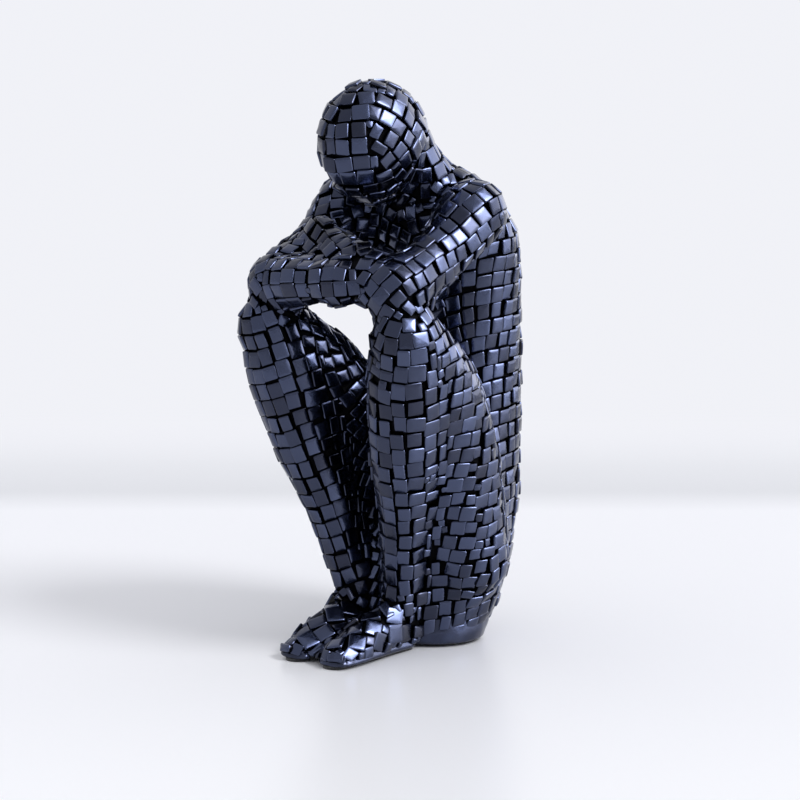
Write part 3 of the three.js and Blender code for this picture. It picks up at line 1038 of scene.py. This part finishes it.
def smooth_piece(name, points, faces, material, replaced=()):
    """A smooth-shaded piece inside the box of the solids."""
    mesh = bpy.data.meshes.new(name)
    mesh.from_pydata((np.clip(points, LOW, HIGH) / METRE).tolist(), [], faces)
    mesh.update()
    mesh.polygons.foreach_set("use_smooth", [True] * len(mesh.polygons))
    piece = bpy.data.objects.new(name, mesh)
    scene.collection.objects.link(piece)
    piece.data.materials.append(material)
    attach(piece, "root")
    if replaced:
        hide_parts(*replaced)
    return piece


# Edges of the chips that turn by more degrees than this stay sharp
SHARP_FROM = 50


def chip_piece(name, tiles):
    """All the chips of one casting."""
    points, faces, tones_and_shade = [], [], []
    count = 0
    for tile_points, tile_faces, tile_tones_and_shade in tiles:
        points.append(tile_points)
        faces += [tuple(count + corner for corner in face) for face in tile_faces]
        tones_and_shade.append(tile_tones_and_shade)
        count += len(tile_points)
    mesh = smooth_piece(f"{name}_chips", np.concatenate(points), faces, navy).data
    mesh.attributes.new("tone_and_shade", "FLOAT", "POINT").data.foreach_set("value", np.concatenate(tones_and_shade))
    mesh.set_sharp_from_angle(angle=math.radians(SHARP_FROM))


def eased(values, low, high):
    """0 below low, 1 above high and a smooth rise between."""
    share = np.clip((values - low) / (high - low), 0, 1)
    return share * share * (3 - 2 * share)


def cut_level(bm, height, open_above=False):
    """Cuts the mesh at a height in millimetres, and takes off what lies above if asked."""
    everything = bm.verts[:] + bm.edges[:] + bm.faces[:]
    cut_at = (0, 0, height / METRE)
    bmesh.ops.bisect_plane(bm, geom=everything, plane_co=cut_at, plane_no=(0, 0, 1), clear_outer=open_above)


# Cores: the castings, sunk between the chips
CORE_SWELL = 0.5
CORE_VOXEL = 1.6
CORE_SMOOTHING = 3

# Heights over the feet's rims from which the cores sink, and up to which they are smooth and navy
RIM_SINK_FROM = -0.5
RIM_BARE = 2


def core_piece(name):
    """The joints between one casting's chips, painted near black as shade, and on a foot the smooth rim under
    them.
    """
    points, triangles = remeshed([name], CORE_SWELL, CORE_VOXEL)
    points = smoothed(points, triangles, CORE_SMOOTHING)
    points = points - CORE_SWELL * corner_normals(points, triangles)
    found = [skin_tree.find_nearest(point) for point in points.tolist()]
    outward = np.array([normal for _, normal, _, _ in found])
    depth = ((np.array([place for place, _, _, _ in found]) - points) * outward).sum(1)
    sink = np.maximum(CORE_DEPTH - depth, 0)
    has_rim = name.endswith("foot")
    if has_rim:
        sink = sink * eased(points[:, 2], FOOT_RIM + RIM_SINK_FROM, FOOT_RIM + RIM_BARE)
    points = points - sink[:, None] * outward
    core = smooth_piece(f"{name}_joints", points, triangles.tolist(), joint_shade, [name])
    if has_rim:
        core.data.materials.append(smooth_navy)
        bm = bmesh.new()
        bm.from_mesh(core.data)
        cut_level(bm, FOOT_RIM + RIM_BARE)
        for face in bm.faces:
            face.material_index = int(face.calc_center_median().z < (FOOT_RIM + RIM_BARE) / METRE)
        bm.to_mesh(core.data)
        bm.free()


# Seat band: how its mesh is made, how far behind the lowest chips it sinks, and over what height
BAND_SWELL = 0.8
BAND_VOXEL = 1.2
BAND_SOFTENING = 2
BAND_SMOOTHING = 4
BAND_SINK = CORE_DEPTH + 1
BAND_RISE = 9


def seat_band():
    """Smooth band under the seat, which runs up behind the lowest chips and ends inside the pelvis."""
    base_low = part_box("seat_base")[0][2] * METRE
    points, triangles = remeshed(["pelvis", "seat_base"], BAND_SWELL, BAND_VOXEL)
    points = smoothed(softened(points, triangles, BAND_SOFTENING), triangles, BAND_SMOOTHING)
    normals = corner_normals(points, triangles)
    depth = BAND_SWELL + BAND_SINK * eased(points[:, 2], BAND_TOP, BAND_TOP + BAND_RISE)
    points = points - depth[:, None] * normals
    points[:, 2] = np.maximum(points[:, 2], base_low)
    band = smooth_piece("seat_band", points, triangles.tolist(), smooth_navy, ["seat_base"])
    bm = bmesh.new()
    bm.from_mesh(band.data)
    cut_level(bm, BAND_TOP + BAND_RISE, open_above=True)
    bmesh.ops.holes_fill(bm, edges=[edge for edge in bm.edges if edge.is_boundary], sides=0)
    bm.to_mesh(band.data)
    bm.free()


def finish_nodes():
    """Felt on the pads and steel on the pegs, which show as they are."""
    finishes = {"_pad": black_felt(), "_peg": peg_steel()}
    for name, node in nodes.items():
        for ending, material in finishes.items():
            if name.endswith(ending):
                node.data.materials.clear()
                node.data.materials.append(material)


for casting, tiles in chips.items():
    chip_piece(casting, tiles)
for casting in CASTINGS:
    core_piece(casting)
seat_band()
finish_nodes()


# Floor, camera and light

def direction_of(azimuth, elevation):
    """Direction from the figure: azimuth 0 is the side it faces, 90 its left."""
    azimuth, elevation = math.radians(azimuth), math.radians(elevation)
    level = Vector((math.sin(azimuth), -math.cos(azimuth), 0))
    return level * math.cos(elevation) + Vector((0, 0, math.sin(elevation)))


# Camera: where it aims, how far and from which side it looks, and where the aim lies in the picture
AIM = Vector((0, -0.013, 0.12))
CAMERA_DISTANCE = 1.1
CAMERA_AZIMUTH = 40
CAMERA_ELEVATION = 8
LENS = 115.9
SHIFT = (0.0225, -0.0375)
CLIPPING = (0.05, 50)

# Key light: strength, angle that it fills and where it stands
KEY_STRENGTH = 1.4
KEY_WIDTH = 20
KEY = direction_of(98, 46)

# The room: its colour as a light, and to the eye a backdrop, brighter on one side and at a window
BACKDROP_COLOUR = (0.877, 0.885, 0.932)
ROOM_LIGHT = (0.7, 0.705, 0.73)
ROOM_BRIGHT_SIDE = direction_of(150, 5)
ROOM_STOPS = ((0, 0.75), (0.36, 0.75), (0.58, 1), (0.76, 1), (0.84, 2.5), (1, 4.4))
WINDOW = direction_of(104, 38)
WINDOW_STOPS = ((0.8, 0), (0.88, 1.6), (0.94, 8), (1, 13))

# Floor colour by the distance behind its middle, with a painted shade band where the floor meets the wall and
# painted light in front of the figure, and where the floor turns into the wall
FLOOR_REACH = 6
FLOOR_SPAN = (-0.9, 0.8)
FLOOR_PAINTED_SHADING = [
    (-0.9, (0.8, 0.805, 0.84)),
    (-0.3, (0.95, 0.955, 0.98)),
    (-0.1, (0.9, 0.905, 0.94)),
    (0.29, (0.88, 0.885, 0.92)),
    (0.345, (0.7, 0.71, 0.74)),
    (0.43, (0.72, 0.73, 0.76)),
    (0.6, (0.88, 0.885, 0.92)),
]
WALL_FROM, WALL_TO = 0.36, 0.62


def seen_rays(tree):
    """1 for rays that reach the eye, straight or mirrored, and 0 for those that light a surface."""
    path = tree.nodes.new("ShaderNodeLightPath")
    seen = path.outputs["Is Camera Ray"]
    for kind in ("Is Glossy Ray", "Is Transmission Ray"):
        either = tree.nodes.new("ShaderNodeMath")
        either.operation = "MAXIMUM"
        tree.links.new(seen, either.inputs[0])
        tree.links.new(path.outputs[kind], either.inputs[1])
        seen = either.outputs[0]
    return seen


def mixed(tree, factor, first, second, output):
    """Sends a mix of two shaders to the output."""
    mix = tree.nodes.new("ShaderNodeMixShader")
    for number, socket in enumerate((factor, first, second)):
        tree.links.new(socket, mix.inputs[number])
    tree.links.new(mix.outputs[0], tree.nodes[output].inputs["Surface"])


def part_along(tree, vector, direction):
    """How far a vector reaches along a direction."""
    product = tree.nodes.new("ShaderNodeVectorMath")
    product.operation = "DOT_PRODUCT"
    product.inputs[1].default_value = direction
    tree.links.new(vector, product.inputs[0])
    return product.outputs["Value"]


def floor():
    mesh = bpy.data.meshes.new("floor")
    corners = [(x * FLOOR_REACH, y * FLOOR_REACH, 0) for x, y in ((-1, -1), (1, -1), (1, 1), (-1, 1))]
    mesh.from_pydata(corners, [], [(0, 1, 2, 3)])
    plane = bpy.data.objects.new("floor", mesh)
    scene.collection.objects.link(plane)
    material, tree, shader = new_material("floor", (0.88, 0.885, 0.92), 0.3)
    shader.inputs["Specular IOR Level"].default_value = 0.25
    coordinates = tree.nodes.new("ShaderNodeTexCoord")
    behind = part_along(tree, coordinates.outputs["Object"], -direction_of(CAMERA_AZIMUTH, 0))
    low, high = FLOOR_SPAN
    stops = [((place - low) / (high - low), colour) for place, colour in FLOOR_PAINTED_SHADING]
    # The floor's colour carries painted shade where it meets the wall and painted light in front of the
    # figure
    tree.links.new(ramp(tree, spread(tree, behind, low, high), stops), shader.inputs["Base Color"])
    wall = tree.nodes.new("ShaderNodeEmission")
    wall.inputs["Color"].default_value = (*BACKDROP_COLOUR, 1)
    far = tree.nodes.new("ShaderNodeMath")
    far.operation = "MULTIPLY"
    tree.links.new(spread(tree, behind, WALL_FROM, WALL_TO), far.inputs[0])
    tree.links.new(seen_rays(tree), far.inputs[1])
    mixed(tree, far.outputs[0], shader.outputs[0], wall.outputs[0], "Material Output")
    plane.data.materials.append(material)


def turned_from(thing, back):
    """Puts a camera or a lamp into the scene, looking away from the given side."""
    thing.rotation_mode = "QUATERNION"
    thing.rotation_quaternion = (-back).to_track_quat("-Z", "Y")
    scene.collection.objects.link(thing)


def camera():
    data = bpy.data.cameras.new("camera")
    data.lens = LENS
    data.shift_x, data.shift_y = SHIFT
    data.clip_start, data.clip_end = CLIPPING
    back = direction_of(CAMERA_AZIMUTH, CAMERA_ELEVATION)
    seen_from = bpy.data.objects.new("camera", data)
    seen_from.location = AIM + CAMERA_DISTANCE * back
    turned_from(seen_from, back)
    scene.camera = seen_from


def sun():
    data = bpy.data.lights.new("key", "SUN")
    data.energy = KEY_STRENGTH
    data.angle = math.radians(KEY_WIDTH)
    turned_from(bpy.data.objects.new("key", data), KEY)


def room():
    world = bpy.data.worlds.new("studio")
    scene.world = world
    world.use_nodes = True
    tree = world.node_tree
    light = tree.nodes["Background"]
    light.inputs["Color"].default_value = (*ROOM_LIGHT, 1)
    coordinates = tree.nodes.new("ShaderNodeTexCoord")

    def glow(middle, low, stops):
        """Background that changes with the angle from a direction."""
        nearness = part_along(tree, coordinates.outputs["Generated"], middle)
        colours = [(place, [share * part for part in BACKDROP_COLOUR]) for place, share in stops]
        shown = tree.nodes.new("ShaderNodeBackground")
        tree.links.new(ramp(tree, spread(tree, nearness, low, 1), colours), shown.inputs["Color"])
        return shown.outputs[0]

    seen = tree.nodes.new("ShaderNodeAddShader")
    tree.links.new(glow(ROOM_BRIGHT_SIDE, -1, ROOM_STOPS), seen.inputs[0])
    tree.links.new(glow(WINDOW, 0, WINDOW_STOPS), seen.inputs[1])
    mixed(tree, seen_rays(tree), light.outputs[0], seen.outputs[0], "World Output")


floor()
camera()
sun()
room()

scene.view_settings.view_transform = "Standard"
